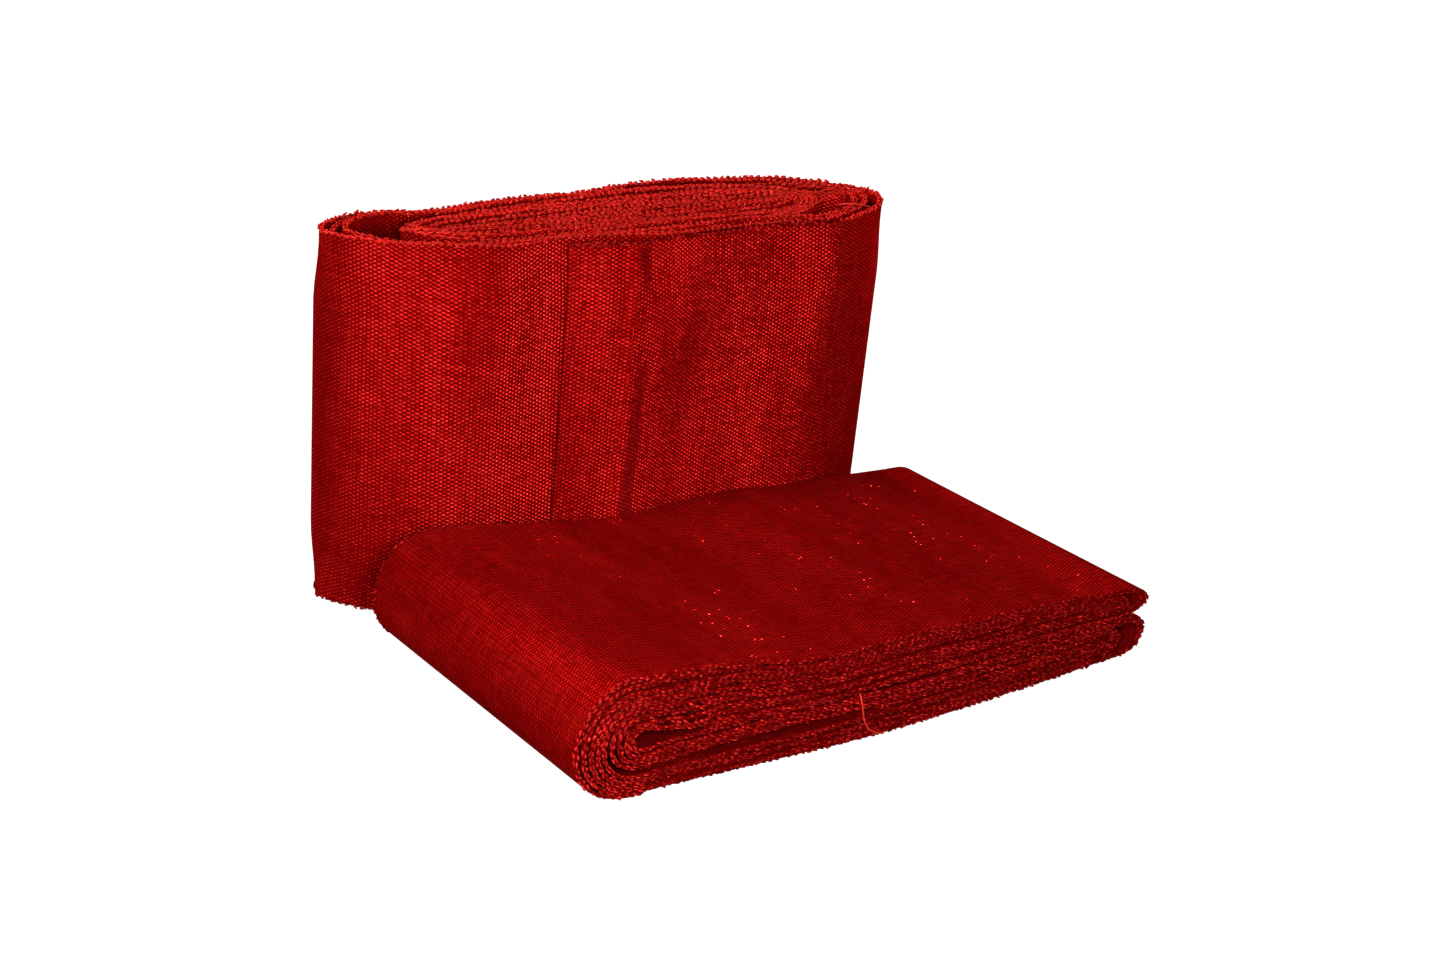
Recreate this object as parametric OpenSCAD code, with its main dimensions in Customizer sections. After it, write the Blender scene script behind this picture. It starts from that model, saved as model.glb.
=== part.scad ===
// A pair of woven hand wraps as they are put away: one coil folded in half and lying flat,
// and one oval coil standing on its selvedge right behind it.
// X runs along the folded wrap, Y from the front selvedge to the back, Z up from the table.

/* [Band] */
// Width of the woven band
band_w = 50; // [40:1:60]
// Thickness of the woven band
band_t = 0.45; // [0.35:0.01:0.55]
// Width of the turned-in hem at the free end
hem_w = 9.5; // [6:0.5:12]

/* [Folded wrap] */
// Length from the round fold to the open end
folded_len = 85.3; // [80:0.1:100]
// Turns of band in the coil
folded_turns = 5; // [3:1:6]
// Clear space between two layers near the fold
folded_gap = 0.17; // [0.05:0.01:0.25]
// Thickness of the lower half at the open end, as a share of that at the fold
lower_share = 0.8; // [0.7:0.01:1]
// Thickness of the upper half at the open end, as a share of that at the fold
upper_share = 0.46; // [0.4:0.01:1]
// Height of the underside over the table at the open end
end_lift = 3.7; // [0:0.1:4]
// Length of the underside that lies flat on the table
flat_len = 24; // [15:1:35]
// Distance from the fold's centre line to the free end, which is tucked between the halves
folded_tip_from = 10; // [8:1:16]

/* [Standing wrap] */
// Length of the oval coil
standing_len = 83.2; // [78:0.1:85]
// Thickness of the oval coil, without the swell of its back
standing_t = 23.8; // [21:0.1:28]
// Swell of the coil's back at its thickest place
back_swell = 2.6; // [0:0.1:3.5]
// Distance by which the coil's left end lies further back than the rest
end_swing = 3.4; // [0:0.1:4]
// Turns of band in the coil
standing_turns = 10; // [8:1:11]
// Length of each rounded end
end_round = 15; // [12:0.5:18]
// Length of the hollow between the outer turns and the inner pack at each end
eye_len = 6; // [2:0.5:7]
// Half of the space left in the middle of the coil
core_half = 1.2; // [1:0.1:1.6]
// Distance from the coil's middle to the free end, towards the left
tip_from = 16.7; // [12:0.1:20]
// Distance by which the coil's middle is left of the folded wrap's middle
standing_shift = 0.9; // [0:0.1:0.9]
// Space between the two wraps
pair_gap = 0.4; // [0.3:0.1:2]
// Height at which the crease of the lifting corner meets the free end
crease_z = 16.5; // [16:0.5:22]

/* [Closure] */
// Thickness of the hook patch
hook_t = 0.6; // [0.4:0.05:0.8]
// Thickness of the loop patch
loop_t = 0.6; // [0.4:0.05:0.8]
// Length of both patches along the band
patch_len = 26; // [20:0.5:27]
// Distance of the patches from both selvedges
patch_edge = 4; // [3:0.5:8]
// Clear space between the two patches
parting_gap = 0.4; // [0.3:0.05:0.6]

/* [Thumb loop] */
// Width of the narrow tape
tape_w = 20; // [15:1:25]
// Thickness of the narrow tape
tape_t = 0.3; // [0.2:0.05:0.35]
// Length of the flattened loop
thumb_len = 40; // [34:1:42]
// Opening of the loop in the standing wrap
thumb_open = 1.4; // [1:0.1:2]
// Opening of the loop pressed flat in the folded wrap
thumb_flat = 0.12; // [0.1:0.01:0.2]

/* [Thread] */
// Width of the sewing thread
thread_w = 0.35; // [0.25:0.05:0.5]
// Height of a stitch over the cloth
stitch_t = 0.1; // [0.06:0.01:0.12]
// Length of one stitch
stitch_len = 2.4; // [1.5:0.1:3]
// Distance from one stitch to the next
stitch_step = 3.2; // [3.1:0.1:4]
// Distance of a seam from the edge that it holds
seam_edge = 1.2; // [0.8:0.1:2]
// Thickness of a loose yarn
yarn_d = 0.3; // [0.2:0.05:0.4]
// Length of the loose yarns across the standing wrap's eye
fray_len = 9; // [6:0.5:10]

/* [Hidden] */

band_red = [0.72, 0.04, 0.04];
thread_red = [0.55, 0.02, 0.03];
patch_black = [0.07, 0.07, 0.08];
tape_red = [0.6, 0.03, 0.04];

// Clear space around a piece that is laid between two layers
fit_gap = 0.05;
// Clear space around the bar tack in the pressed thumb loop
tack_gap = 0.02;
// Clear space on each side of the crease
crease_gap = 0.15;
// Clear space between two turns of the standing wrap at its rounded ends
end_gap = 0.1;
// Length by which a cutting shape passes the faces that it cuts
cut_past = 1;
// Straight pieces in one leg of a layer, and in one half turn
leg_steps = 9;
arc_steps = 14;
// Distance from the hem to the hook patch
hem_to_patch = 1;
// Length of band under the thumb loop where the two are sewn together
thumb_lap = 8;
// Distance from the fold's centre line to the pressed thumb loop
thumb_from = 3;
// Turns over which the eye of the standing wrap opens
eye_turns = 2;
// Straight pieces in the swell of a back run, and which of their joints is the thickest place
swell_steps = 5;
swell_at = 3;
// Distance from the standing coil's middle to the band's inner end
inner_end = 6;
// The loose yarn of the folded wrap: its distance from the fold, height, drop and curl
loose_from = 40;
loose_top = 5.6;
loose_drop = 2.6;
curl_r = 1.3;
curl_angle = 140;
// The loose yarns of the standing wrap: the first one's place and slant, and the steps to the next
fray_count = 4;
fray_start = [1, -4.2];
fray_step = [1.3, 2.2];
fray_slant = -28;
fray_turn = 17;
fray_shorter = 0.8;

// The pair stands on the middle of its own footprint
pair_depth = yarn_d + band_w + pair_gap + standing_t + back_swell;
front_y = yarn_d - pair_depth / 2;
left_x = -folded_len / 2;
right_x = folded_len / 2;
band_mid_y = front_y + band_w / 2;

// Folded wrap: heights are counted in a coil of even thickness, then squeezed towards the open end
folded_pitch = band_t + folded_gap;
closure_room = hook_t + loop_t + parting_gap;
last_level = (folded_turns - 1) * folded_pitch + band_t;
flat_thumb_t = 2 * tape_t + thumb_flat;
core_room = flat_thumb_t + 2 * fit_gap;
half_t = 2 * last_level + core_room;
folded_t = 2 * half_t + closure_room;
bend_x = left_x + folded_t / 2;
lobe_x = right_x - half_t / 2;
lift_x = bend_x + flat_len;
// Power of the curve by which the underside leaves the table
lift_power = 1.5;
folded_tip_x = bend_x + folded_tip_from;
folded_patch_x = folded_tip_x + hem_w + hem_to_patch;
upper_base = half_t + closure_room;
thumb_x = bend_x + thumb_from;
inner_end_x = thumb_x + thumb_len - thumb_lap;

// Standing wrap
half_len = standing_len / 2;
half_thick = standing_t / 2;
straight_x = half_len - end_round;
standing_pitch = (half_thick - core_half - closure_room) / standing_turns;
end_step = band_t + end_gap;
standing_x = -standing_shift;
standing_y = front_y + band_w + pair_gap + half_thick;
// The left end swings back beyond the thumb loop, which lies straight in the middle
swing_x = -max(thumb_len / 2, tip_from);
swell_x = blend(swing_x, straight_x, swell_at / swell_steps);
swell_len = half_len - swell_x;
tip_x = -tip_from;
patch_x = tip_x + hem_w + hem_to_patch;
crease_run = band_w - crease_z;

function backwards(v) = [for (i = [len(v) - 1 : -1 : 0]) v[i]];
function blend(a, b, share) = a + (b - a) * share;

// Share of the way from the fold to the open end
function along(x) = max(0, (x - bend_x) / (right_x - bend_x));
function lift(x) = end_lift * pow(max(0, (x - lift_x) / (right_x - lift_x)), lift_power);
function lower_height(x, h) = min(h, folded_t / 2) * blend(1, lower_share, along(x));
function upper_height(x, h) = max(0, h - folded_t / 2) * blend(1, upper_share, along(x));
function pressed(p) = [p[0], lift(p[0]) + lower_height(p[0], p[1]) + upper_height(p[0], p[1])];
function pressed_all(v) = [for (p = v) pressed(p)];
function turned_over(v) = [for (p = v) [p[0], folded_t - p[1]]];

// One hairpin of band in the lower half, a distance deep inside its outline
function hairpin(deep, inner_x) = concat(
    [for (i = [0 : leg_steps]) [blend(bend_x, lobe_x, i / leg_steps), deep]],
    [for (i = [1 : arc_steps - 1])
        [lobe_x + (half_t / 2 - deep) * sin(180 * i / arc_steps),
         half_t / 2 - (half_t / 2 - deep) * cos(180 * i / arc_steps)]],
    [for (i = [0 : leg_steps]) [blend(lobe_x, inner_x, i / leg_steps), half_t - deep]]);
function hairpin_band(level, inner_x) = concat(
    hairpin(level * folded_pitch, inner_x),
    backwards(hairpin(level * folded_pitch + band_t, inner_x)));

// One half ring of band round the fold, from its top to its bottom
function half_ring(top_r, bottom_r) = [for (i = [0 : arc_steps])
    let (a = 90 + 180 * i / arc_steps, r = blend(top_r, bottom_r, i / arc_steps))
    [bend_x + r * cos(a), folded_t / 2 + r * sin(a)]];
function half_ring_band(top_r, bottom_r) = concat(
    half_ring(top_r, bottom_r), backwards(half_ring(top_r - band_t, bottom_r - band_t)));
function inner_ring_r(level) = closure_room / 2 + level * folded_pitch + band_t;

// A flat piece between two layers of the folded wrap
function slab(x0, x1, h0, h1) = pressed_all(concat(
    [for (i = [0 : leg_steps]) [blend(x0, x1, i / leg_steps), h0]],
    [for (i = [0 : leg_steps]) [blend(x1, x0, i / leg_steps), h1]]));

module across(y0, width) {
    translate([0, y0 + width, 0]) rotate([90, 0, 0]) linear_extrude(width) children();
}

module folded_lower_half() {
    color(band_red) for (level = [0 : folded_turns - 1])
        across(front_y, band_w)
            polygon(pressed_all(hairpin_band(level, level == folded_turns - 1 ? inner_end_x : bend_x)));
}

module folded_upper_half() {
    color(band_red) for (level = [0 : folded_turns - 1])
        across(front_y, band_w)
            polygon(pressed_all(turned_over(hairpin_band(level, level == 0 ? folded_tip_x : bend_x))));
}

module folded_bend() {
    color(band_red) across(front_y, band_w) {
        for (level = [0 : folded_turns - 1])
            let (r = folded_t / 2 - level * folded_pitch) polygon(half_ring_band(r, r));
        for (level = [0 : folded_turns - 2])
            polygon(half_ring_band(inner_ring_r(level + 1), inner_ring_r(level)));
    }
}

// A row of stitches across the band in the folded wrap
module folded_seam_across(x, h0, y0, y1) {
    for (y = [y0 : stitch_step : y1 - stitch_len])
        across(y, stitch_len) polygon(slab(x, x + thread_w, h0, h0 + stitch_t));
}

// A row of stitches along the band in the folded wrap
module folded_seam_along(x0, x1, h0, y) {
    for (x = [x0 : stitch_step : x1 - stitch_len])
        across(y, thread_w) polygon(slab(x, x + stitch_len, h0, h0 + stitch_t));
}

// The box of stitches that holds a patch in the folded wrap
module folded_patch_seam(h0) {
    y0 = front_y + patch_edge + seam_edge;
    y1 = front_y + band_w - patch_edge - seam_edge;
    x0 = folded_patch_x + seam_edge;
    x1 = folded_patch_x + patch_len - seam_edge;
    for (x = [x0, x1 - thread_w]) folded_seam_across(x, h0, y0 + 2 * thread_w, y1 - 2 * thread_w);
    for (y = [y0, y1 - thread_w]) folded_seam_along(x0, x1, h0, y);
}

module folded_patch(h0, thick) {
    across(front_y + patch_edge, band_w - 2 * patch_edge)
        polygon(slab(folded_patch_x, folded_patch_x + patch_len, h0, h0 + thick));
}

module folded_loop_patch() {
    color(patch_black) folded_patch(half_t + fit_gap, loop_t - fit_gap);
}

module folded_loop_stitching() {
    color(thread_red) folded_patch_seam(half_t + loop_t);
}

module folded_hook_patch() {
    color(patch_black) folded_patch(upper_base - hook_t, hook_t - fit_gap);
}

module folded_hook_stitching() {
    color(thread_red) folded_patch_seam(upper_base - hook_t - stitch_t);
}

module folded_hem() {
    color(band_red) across(front_y, band_w)
        polygon(slab(folded_tip_x, folded_tip_x + hem_w, upper_base - band_t, upper_base - fit_gap));
}

module folded_hem_stitching() {
    color(thread_red) folded_seam_across(folded_tip_x + hem_w - seam_edge, upper_base - band_t - stitch_t,
        front_y + seam_edge, front_y + band_w - seam_edge);
}

module folded_thumb_loop() {
    low = last_level + fit_gap;
    high = low + flat_thumb_t;
    color(tape_red) across(band_mid_y - tape_w / 2, tape_w) difference() {
        polygon(slab(thumb_x, thumb_x + thumb_len, low, high));
        polygon(slab(thumb_x + tape_t, thumb_x + thumb_len - tape_t, low + tape_t, high - tape_t));
    }
}

// The bar tack fills the pressed loop where it is sewn to the end of the band
module folded_thumb_tack() {
    low = last_level + fit_gap + tape_t + tack_gap;
    high = low + thumb_flat - 2 * tack_gap;
    color(thread_red) for (x = [inner_end_x + seam_edge : 2 * thread_w : inner_end_x + thumb_lap - seam_edge])
        across(band_mid_y - tape_w / 2 + seam_edge, tape_w - 2 * seam_edge)
            polygon(slab(x, x + thread_w, low, high));
}

// A yarn end that hangs in front of the lower layers and curls at its tip
module folded_loose_yarn() {
    color(band_red) translate([left_x + loose_from, front_y - yarn_d / 2, loose_top - loose_drop]) {
        cylinder(d = yarn_d, h = loose_drop, $fn = 16);
        translate([curl_r, 0, 0]) rotate([-90, 0, 0]) rotate([0, 0, 180 - curl_angle])
            rotate_extrude(angle = curl_angle, $fn = 48) translate([curl_r, 0]) circle(d = yarn_d, $fn = 16);
    }
}

// Standing wrap: where the front and back runs of each turn lie, and how far its ends reach
function front_run(level) = -half_thick + level * standing_pitch + (level > 0 ? closure_room : 0);
function back_run(level) = half_thick - level * standing_pitch;
function reach(level) = half_len - level * end_step - (level > 0 ? closure_room / 2 : 0)
    - eye_len * min(1, max(0, (level - 1) / eye_turns));

// How far a place of the coil is set back: the left end swings, and the back swells in the middle
function ease(t) = let (s = min(1, max(0, t))) s * s * (3 - 2 * s);
function swing(x) = end_swing * ease((swing_x - x) / (swing_x + half_len));
function swell(x) = pow(cos(90 * min(1, abs(x - swell_x) / swell_len)), 2) * back_swell;
function set_back(x, y) = swing(x) + swell(x) * max(0, y) / half_thick;

// Places along a run where it bends: front runs only at their left end, back runs all along
swing_xs = [-straight_x, blend(-straight_x, swing_x, 0.5), swing_x];
swell_xs = [for (i = [1 : swell_steps]) blend(swing_x, straight_x, i / swell_steps)];
function run_points(xs, y, deep) = [for (x = xs) [x, y + set_back(x, y) + deep]];

// Half an oval that joins a front run to a back run on one side, a distance deep inside the band
function end_turn(level, front, back, side, deep) = [for (i = [1 : arc_steps - 1])
    let (a = -90 + 180 * i / arc_steps,
         middle = (front + back) / 2,
         half = (back - front) / 2,
         outer_x = side * (straight_x + (reach(level) - straight_x) * cos(a)))
    [outer_x - side * deep * cos(a),
     middle + (half - deep) * sin(a) + set_back(outer_x, middle + half * sin(a))]];

// The whole coil from its free end to its inner end, a distance deep inside the outer face
function coil_path(deep) = concat(
    [[tip_x, front_run(0) + deep]],
    [for (level = [0 : standing_turns - 1]) each concat(
        [[straight_x, front_run(level) + deep]],
        end_turn(level, front_run(level), back_run(level), 1, deep),
        run_points(backwards(concat(swing_xs, swell_xs)), back_run(level), -deep),
        backwards(end_turn(level, front_run(level + 1), back_run(level), -1, deep)),
        run_points(swing_xs, front_run(level + 1), deep))],
    [[inner_end, front_run(standing_turns) + deep]]);

module in_standing() {
    translate([standing_x, standing_y, 0]) children();
}

// The corner over the crease, from the outer face inwards, moved off the crease by a distance
module corner_wedge(off) {
    shift = off * sqrt(2);
    translate([0, front_run(0) + standing_pitch + closure_room - loop_t - fit_gap, 0]) rotate([90, 0, 0])
        linear_extrude(standing_pitch + closure_room + cut_past)
            polygon([[tip_x - cut_past, crease_z - cut_past + shift],
                     [tip_x + crease_run + cut_past, band_w + cut_past + shift],
                     [tip_x - cut_past, band_w + cut_past + shift]]);
}

module on_base() {
    in_standing() difference() {
        children();
        corner_wedge(-crease_gap);
    }
}

module on_corner() {
    in_standing() intersection() {
        children();
        corner_wedge(crease_gap);
    }
}

module standing_coil() {
    color(band_red) on_base() linear_extrude(band_w)
        polygon(concat(coil_path(0), backwards(coil_path(band_t))));
}

module end_panel() {
    translate([tip_x, front_run(0), 0]) cube([crease_run + cut_past, band_t, band_w]);
}

module hem_strip() {
    translate([tip_x, front_run(0) + band_t, 0]) cube([hem_w, band_t, band_w]);
}

module hook_strip() {
    translate([patch_x, front_run(0) + band_t, patch_edge])
        cube([patch_len, hook_t, band_w - 2 * patch_edge]);
}

// Height of the crease over a place along the free end
function crease_at(x) = crease_z + x - tip_x;

// Upright stitches, on the corner or on the base of the free end, never on the crease itself
module upright_seam(x, y, z0, z1, on_top) {
    over = crease_at(x + thread_w) + 2 * crease_gap;
    under = crease_at(x) - 2 * crease_gap;
    for (z = [z0 : stitch_step : z1 - stitch_len]) if (on_top ? z > over : z + stitch_len < under)
        translate([x, y, z]) cube([thread_w, stitch_t, stitch_len]);
}

// Level stitches, on the corner or on the base of the free end
module level_seam(x0, x1, y, z, on_top) {
    left_of = z - crease_z + tip_x - stitch_len - 2 * crease_gap;
    right_of = z + thread_w - crease_z + tip_x + 2 * crease_gap;
    for (x = [x0 : stitch_step : x1 - stitch_len]) if (on_top ? x < left_of : x > right_of)
        translate([x, y, z]) cube([stitch_len, stitch_t, thread_w]);
}

module hem_seam(on_top) {
    upright_seam(tip_x + hem_w - seam_edge, front_run(0) + 2 * band_t, seam_edge, band_w - seam_edge, on_top);
}

module hook_seam(on_top) {
    x0 = patch_x + seam_edge;
    x1 = patch_x + patch_len - seam_edge;
    z0 = patch_edge + seam_edge;
    z1 = band_w - patch_edge - seam_edge;
    y = front_run(0) + band_t + hook_t;
    for (x = [x0, x1 - thread_w]) upright_seam(x, y, z0 + 2 * thread_w, z1 - 2 * thread_w, on_top);
    for (z = [z0, z1 - thread_w]) level_seam(x0, x1, y, z, on_top);
}

module standing_hem_base() {
    color(band_red) on_base() hem_strip();
}

module standing_hem_base_stitching() {
    color(thread_red) in_standing() hem_seam(false);
}

module standing_hook_base() {
    color(patch_black) on_base() hook_strip();
}

module standing_hook_base_stitching() {
    color(thread_red) in_standing() hook_seam(false);
}

module standing_loop_patch() {
    color(patch_black) in_standing() translate([patch_x, front_run(1) - loop_t, patch_edge])
        cube([patch_len, loop_t, band_w - 2 * patch_edge]);
}

module standing_loop_stitching() {
    x0 = patch_x + seam_edge;
    x1 = patch_x + patch_len - seam_edge - thread_w;
    y = front_run(1) - loop_t - stitch_t;
    color(thread_red) in_standing() for (x = [x0, x1])
        for (z = [patch_edge + seam_edge : stitch_step : band_w - patch_edge - seam_edge - stitch_len])
            translate([x, y, z]) cube([thread_w, stitch_t, stitch_len]);
}

module rounded_bar(len, thick) {
    square([len - thick, thick], center = true);
    for (side = [-1, 1]) translate([side * (len - thick) / 2, 0]) circle(d = thick, $fn = 32);
}

module standing_thumb_loop() {
    loop_thick = thumb_open + 2 * tape_t;
    color(tape_red) in_standing()
        translate([0, front_run(standing_turns) + band_t + loop_thick / 2, (band_w - tape_w) / 2])
            linear_extrude(tape_w) difference() {
                rounded_bar(thumb_len, loop_thick);
                rounded_bar(thumb_len - 2 * tape_t, thumb_open);
            }
}

module standing_thumb_tack() {
    color(thread_red) in_standing() for (x = [inner_end - thumb_lap : 2 * thread_w : inner_end - seam_edge])
        translate([x, front_run(standing_turns) + band_t + tape_t, (band_w - tape_w) / 2 + seam_edge])
            cube([thread_w, stitch_t, tape_w - 2 * seam_edge]);
}

// Loose yarns that lie on the selvedges across the eye at the right end
module standing_loose_yarns() {
    color(band_red) in_standing() translate([straight_x, 0, band_w + yarn_d / 2])
        for (i = [0 : fray_count - 1])
            translate(fray_start + i * fray_step) rotate([0, 90, fray_slant + fray_turn * i])
                cylinder(d = yarn_d, h = fray_len - fray_shorter * i, $fn = 16);
}

module free_corner() {
    color(band_red) on_corner() end_panel();
}

module free_corner_hem() {
    color(band_red) on_corner() hem_strip();
}

module free_corner_hem_stitching() {
    color(thread_red) in_standing() hem_seam(true);
}

module free_corner_hook() {
    color(patch_black) on_corner() hook_strip();
}

module free_corner_hook_stitching() {
    color(thread_red) in_standing() hook_seam(true);
}

folded_lower_half();
folded_bend();
folded_loop_patch();
folded_loop_stitching();
folded_thumb_loop();
folded_thumb_tack();
folded_loose_yarn();
folded_upper_half();
folded_hem();
folded_hem_stitching();
folded_hook_patch();
folded_hook_stitching();
standing_coil();
standing_hem_base();
standing_hem_base_stitching();
standing_hook_base();
standing_hook_base_stitching();
standing_loop_patch();
standing_loop_stitching();
standing_thumb_loop();
standing_thumb_tack();
standing_loose_yarns();
free_corner();
free_corner_hem();
free_corner_hem_stitching();
free_corner_hook();
free_corner_hook_stitching();
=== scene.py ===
# %% [markdown]
# A pair of woven hand wraps, put away. One wrap is a flat coil folded in half, and it lies on
# the table. The other is an oval coil that stands on its edge right behind it. Both are one
# long band of red cloth, so the lesson is mostly about cloth in many thin layers: how to roll a
# flat strip along a line, how to give its edges their beads of yarn, and how to write a weave as
# a material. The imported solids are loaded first, and every size below is taken from them.

# %% Load the frame
import math

import bmesh
import bpy
import numpy as np
from mathutils import Matrix, Vector


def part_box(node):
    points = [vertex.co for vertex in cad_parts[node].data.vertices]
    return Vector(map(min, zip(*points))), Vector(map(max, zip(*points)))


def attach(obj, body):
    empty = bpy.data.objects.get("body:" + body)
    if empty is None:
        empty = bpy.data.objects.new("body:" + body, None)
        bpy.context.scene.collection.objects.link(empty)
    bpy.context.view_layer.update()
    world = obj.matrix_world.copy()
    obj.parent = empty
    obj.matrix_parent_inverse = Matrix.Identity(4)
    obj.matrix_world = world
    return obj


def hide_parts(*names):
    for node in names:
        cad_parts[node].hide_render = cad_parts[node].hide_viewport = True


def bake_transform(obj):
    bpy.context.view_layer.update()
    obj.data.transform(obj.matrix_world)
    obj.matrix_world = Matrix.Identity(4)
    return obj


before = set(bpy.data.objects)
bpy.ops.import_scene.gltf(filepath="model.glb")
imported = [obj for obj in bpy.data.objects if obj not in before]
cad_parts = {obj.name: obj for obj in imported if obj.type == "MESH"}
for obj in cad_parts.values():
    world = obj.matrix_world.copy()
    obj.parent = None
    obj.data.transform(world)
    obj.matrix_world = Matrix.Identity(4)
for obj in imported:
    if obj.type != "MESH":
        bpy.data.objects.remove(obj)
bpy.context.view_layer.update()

mm = 0.001

# %% [markdown]
# The solids say where everything is. The layers round the fold give the folded wrap's place and
# thickness, and its lower half gives its open end. Only the sizes that a box can't show, such as
# the cloth's thickness, are written down again.

# %% Sizes of the folded wrap
fold_low, fold_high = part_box("folded_bend")
left_x, bend_x = fold_low.x, fold_high.x
front_y, back_y = fold_low.y, fold_high.y
folded_t = fold_high.z
right_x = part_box("folded_lower_half")[1].x
band_w = back_y - front_y
band_t = 0.45 * mm
layer_pitch = 0.62 * mm
turns = 5
closure_room = 1.6 * mm
half_t = (folded_t - closure_room) / 2
upper_base = half_t + closure_room
lobe_x = right_x - half_t / 2
lower_share, upper_share = 0.8, 0.46
end_lift, flat_len, lift_power = 3.7 * mm, 24 * mm, 1.5
print("folded wrap in mm:", round((right_x - left_x) / mm, 1), "long,", round(folded_t / mm, 2), "thick")

# %% [markdown]
# The standing coil's box gives its middle and its size. Its back swells out, so half its thickness
# is worked out without that swell. The number of turns and the room in the core are written down,
# and the spacing of the layers follows from them.

# %% Sizes of the standing wrap
coil_low, coil_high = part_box("standing_coil")
coil_x = (coil_low.x + coil_high.x) / 2
half_len = (coil_high.x - coil_low.x) / 2
back_swell, end_swing = 2.6 * mm, 3.4 * mm
half_thick = (coil_high.y - coil_low.y - back_swell) / 2
coil_y = coil_low.y + half_thick
coil_turns = 10
core_half = 1.2 * mm
end_round, end_step = 15 * mm, 0.55 * mm
straight_x = half_len - end_round
coil_pitch = (half_thick - core_half - closure_room) / coil_turns
swing_from = 20 * mm
swell_x = 0.6 * straight_x - 0.4 * swing_from
swell_len = half_len - swell_x
tip_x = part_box("free_corner")[0].x - coil_x
hem_w = 9.5 * mm
print("standing wrap in mm:", round(2 * half_len / mm, 1), "long,", round(2 * half_thick / mm, 1), "thick")

# %% [markdown]
# The camera stands where the photograph was taken: low, to the left, and close. Its place was
# found from the outlines of both wraps, so it is given as a direction, a distance and a slight
# tilt of the picture, round a point between the two.

# %% Camera
view_az, view_el, view_roll = math.radians(-35.071), math.radians(19.838), math.radians(3.985)
view_distance = 316.8 * mm
view_target = Vector((-5.9, -10.51, 25)) * mm
focal_pixels, photo_width = 2544.16, 1445


def towards(azimuth, elevation):
    """The way from the wraps to a place at these angles. Azimuth 0 is in front."""
    level = math.cos(elevation)
    return Vector((math.sin(azimuth) * level, -math.cos(azimuth) * level, math.sin(elevation)))


back = towards(view_az, view_el)
right = Vector((math.cos(view_az), math.sin(view_az), 0))
up = back.cross(right)
rolled_right = math.cos(view_roll) * right + math.sin(view_roll) * up
rolled_up = -math.sin(view_roll) * right + math.cos(view_roll) * up

camera_data = bpy.data.cameras.new("camera")
camera_data.sensor_fit = "HORIZONTAL"
camera_data.sensor_width = 36
camera_data.lens = focal_pixels * camera_data.sensor_width / photo_width
camera_data.clip_start = 1 * mm
camera = bpy.data.objects.new("camera", camera_data)
bpy.context.scene.collection.objects.link(camera)
turn = Matrix((rolled_right, rolled_up, back)).transposed().to_4x4()
camera.matrix_world = Matrix.Translation(view_target + back * view_distance) @ turn
bpy.context.scene.camera = camera
print("camera at mm:", [round(v / mm) for v in camera.location], "lens", round(camera_data.lens, 1))

# %% [markdown]
# A material here is a tree of nodes. Sums between nodes are easier to read as Python, so a small
# class wraps a socket, and each operator on it adds one Math node. Every other node comes from
# one method, which takes its type, its settings and what goes into its sockets.

# %% Shader values as Python sums
class Value:
    """A number that varies over a surface, which can be used in sums."""

    def __init__(self, finish, socket):
        self.finish, self.socket = finish, socket

    def __add__(self, other):
        return self.finish.math("ADD", self, other)

    def __radd__(self, other):
        return self.finish.math("ADD", other, self)

    def __sub__(self, other):
        return self.finish.math("SUBTRACT", self, other)

    def __rsub__(self, other):
        return self.finish.math("SUBTRACT", other, self)

    def __mul__(self, other):
        return self.finish.math("MULTIPLY", self, other)

    def __rmul__(self, other):
        return self.finish.math("MULTIPLY", other, self)

    def __truediv__(self, other):
        return self.finish.math("DIVIDE", self, other)


class Finish:
    """One material, built from nodes round a Principled shader."""

    def __init__(self, name, **constants):
        self.material = bpy.data.materials.new(name)
        self.material.use_nodes = True
        self.tree = self.material.node_tree
        self.shader = self.tree.nodes["Principled BSDF"]
        for socket, value in constants.items():
            self.shader.inputs[socket.replace("_", " ")].default_value = value

    def feed(self, socket, value):
        if isinstance(value, Value):
            self.tree.links.new(value.socket, socket)
        else:
            socket.default_value = value

    def node(self, kind, settings, inputs, output=0):
        made = self.tree.nodes.new(kind)
        for name, value in settings.items():
            setattr(made, name, value)
        for name, value in inputs.items():
            self.feed(made.inputs[name], value)
        return Value(self, made.outputs[output])

    def math(self, operation, *values):
        return self.node("ShaderNodeMath", {"operation": operation}, dict(enumerate(values)))

    def mix(self, share, first, second):
        settings = {"data_type": "RGBA"}
        inputs = {"Factor": share, 6: first, 7: second}
        return self.node("ShaderNodeMix", settings, inputs, 2)

    def noise(self, scale, detail, vector):
        inputs = {"Scale": scale, "Detail": detail, "Vector": vector}
        return self.node("ShaderNodeTexNoise", {}, inputs, "Fac")

    def show(self, **sockets):
        for socket, value in sockets.items():
            self.feed(self.shader.inputs[socket.replace("_", " ")], value)
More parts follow.
